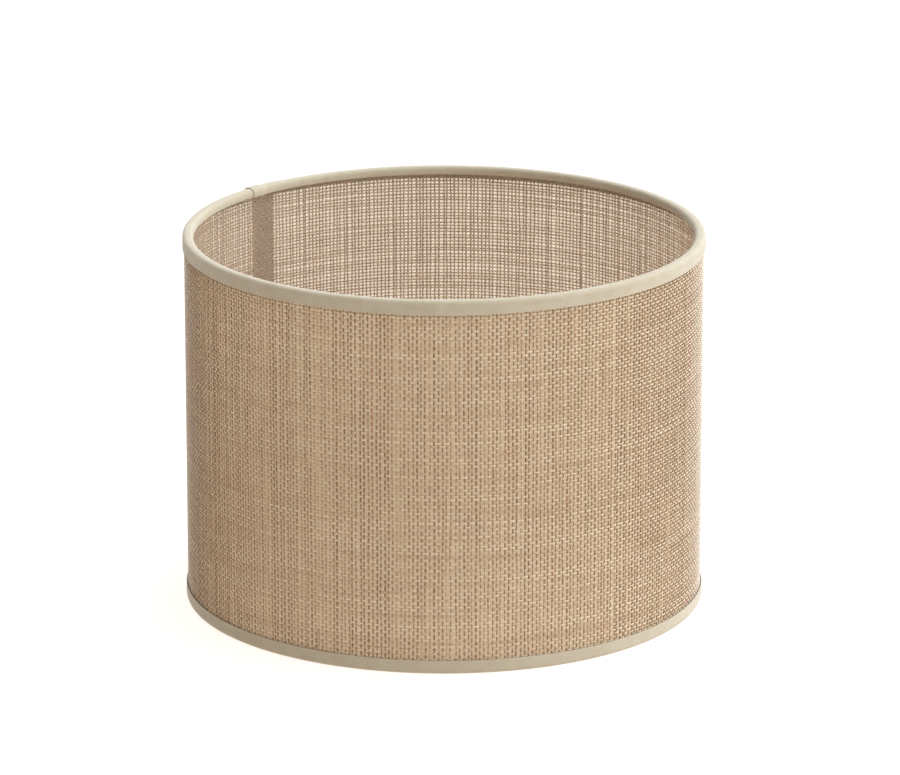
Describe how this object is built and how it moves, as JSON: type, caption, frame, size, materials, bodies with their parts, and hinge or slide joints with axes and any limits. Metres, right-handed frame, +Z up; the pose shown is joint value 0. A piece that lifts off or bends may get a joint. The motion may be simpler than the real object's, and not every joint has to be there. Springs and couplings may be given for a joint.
{
  "type": "lamp shade",
  "caption": "Straight drum lamp shade: a jute panel lined with frosted film on wire rings, cotton tape over both rims, and a recessed spoked fitter for a screw-thread lamp holder.",
  "frame": {"origin": "centre of the bottom rim, on the surface the shade stands on", "axes": "+Z up along the drum's axis; +X to the right and -Y towards someone looking at the front, which puts the glued seam at the back left, 136 degrees round from +X"},
  "size_m": [0.3, 0.3, 0.217],
  "materials": {
    "jute": "coarse plain weave of natural jute",
    "frosted_film": "frosted translucent lining film",
    "adhesive_tape": "double-sided tape",
    "coated_steel": "white powder coat, semi-gloss",
    "cotton_tape": "fine woven cotton, unbleached"
  },
  "bodies": {
    "root": {"jute_panel": "jute", "film_lining": "frosted_film", "seam_adhesive_strip": "adhesive_tape", "top_wire_ring": "coated_steel", "bottom_wire_ring": "coated_steel", "top_trim_tape": "cotton_tape", "bottom_trim_tape": "cotton_tape", "fitter_ring": "coated_steel", "fitter_spoke_1": "coated_steel", "fitter_spoke_2": "coated_steel", "fitter_spoke_3": "coated_steel"}
  },
  "joints": []
}
